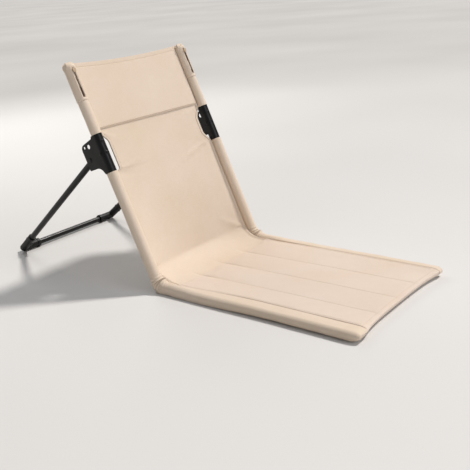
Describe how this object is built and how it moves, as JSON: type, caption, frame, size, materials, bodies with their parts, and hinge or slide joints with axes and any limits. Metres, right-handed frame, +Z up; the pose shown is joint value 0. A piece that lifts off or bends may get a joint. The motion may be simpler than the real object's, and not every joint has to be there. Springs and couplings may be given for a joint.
{
  "type": "folding floor chair",
  "caption": "Low folding floor chair: quilted seat mat on the ground, cloth back slipped over side tubes, hinged at the bend and propped by a U-shaped stand that folds away behind it.",
  "frame": {"origin": "on the ground, in the middle of the footprint of the open chair", "axes": "+X across the chair, towards the sitter's left hand; -Y the way the sitter faces; +Z up"},
  "size_m": [0.408, 1.0648, 0.5181],
  "materials": {
    "cloth": "woven polyester canvas, cream, matt",
    "lining_cloth": "woven polyester, darker cream, matt",
    "edge_tape": "folded grosgrain binding",
    "foam": "soft open-cell foam",
    "black_steel": "black powder coat, half gloss",
    "raw_steel": "zinc-plated",
    "black_plastic": "moulded, fine texture",
    "zip_teeth": "dark brown coil"
  },
  "bodies": {
    "seat": {"seat_tube_left": "black_steel", "seat_tube_right": "black_steel", "seat_end_plug_left": "black_plastic", "seat_end_plug_right": "black_plastic", "seat_hinge_fork_left": "black_plastic", "seat_hinge_fork_right": "black_plastic", "hinge_pin_left": "raw_steel", "hinge_pin_right": "raw_steel", "seat_sleeve_left": "cloth", "seat_sleeve_right": "cloth", "bend_panel": "cloth", "bend_sleeve_left": "cloth", "bend_sleeve_right": "cloth", "seat_cover": "cloth", "seat_bottom_cloth": "lining_cloth", "seat_foam_1": "foam", "seat_foam_2": "foam", "seat_foam_3": "foam", "seat_foam_4": "foam"},
    "back": {"back_tube_left": "black_steel", "back_tube_right": "black_steel", "back_top_plug_left": "black_plastic", "back_top_plug_right": "black_plastic", "back_hinge_tongue_left": "black_plastic", "back_hinge_tongue_right": "black_plastic", "bracket_left": "black_steel", "bracket_right": "black_steel", "bracket_rivet_left": "black_steel", "bracket_rivet_right": "black_steel", "pivot_rivet_left": "black_steel", "pivot_rivet_right": "black_steel", "back_sleeve_lower_left": "cloth", "back_sleeve_lower_right": "cloth", "back_sleeve_upper_left": "cloth", "back_sleeve_upper_right": "cloth", "back_sleeve_cap_left": "cloth", "back_sleeve_cap_right": "cloth", "zip_tape_left": "edge_tape", "zip_tape_right": "edge_tape", "zip_chain_left": "zip_teeth", "zip_chain_right": "zip_teeth", "edge_binding_left": "edge_tape", "edge_binding_right": "edge_tape", "back_panel": "cloth", "headrest_foam": "foam", "headrest_cover": "cloth"},
    "stand": {"leg_left": "black_steel", "leg_right": "black_steel", "leg_top_plug_left": "black_plastic", "leg_top_plug_right": "black_plastic", "crossbar": "black_steel", "corner_connector_left": "black_plastic", "corner_connector_right": "black_plastic", "connector_rivet_left": "black_steel", "connector_rivet_right": "black_steel", "pivot_bush_left": "black_plastic", "pivot_bush_right": "black_plastic"},
    "left_slider": {"zip_slider_left": "raw_steel"},
    "right_slider": {"zip_slider_right": "raw_steel"}
  },
  "joints": [
    {"name": "back_fold", "type": "hinge", "parent": "seat", "child": "back", "pos_m": [0, -0.01968, 0.026], "axis": [1, 0, 0], "range_deg": [-66.9, 112], "deforming": ["bend_panel", "bend_sleeve_left", "bend_sleeve_right"]},
    {"name": "stand_fold", "type": "hinge", "parent": "back", "child": "stand", "pos_m": [0, 0.15557, 0.2967], "axis": [1, 0, 0], "range_deg": [-75, 0]},
    {"name": "zip_slide_left", "type": "slide", "parent": "back", "child": "left_slider", "axis": [0, 0.3923, 0.9198], "range_m": [-0.058, 0]},
    {"name": "zip_slide_right", "type": "slide", "parent": "back", "child": "right_slider", "axis": [0, 0.3923, 0.9198], "range_m": [-0.058, 0]}
  ]
}
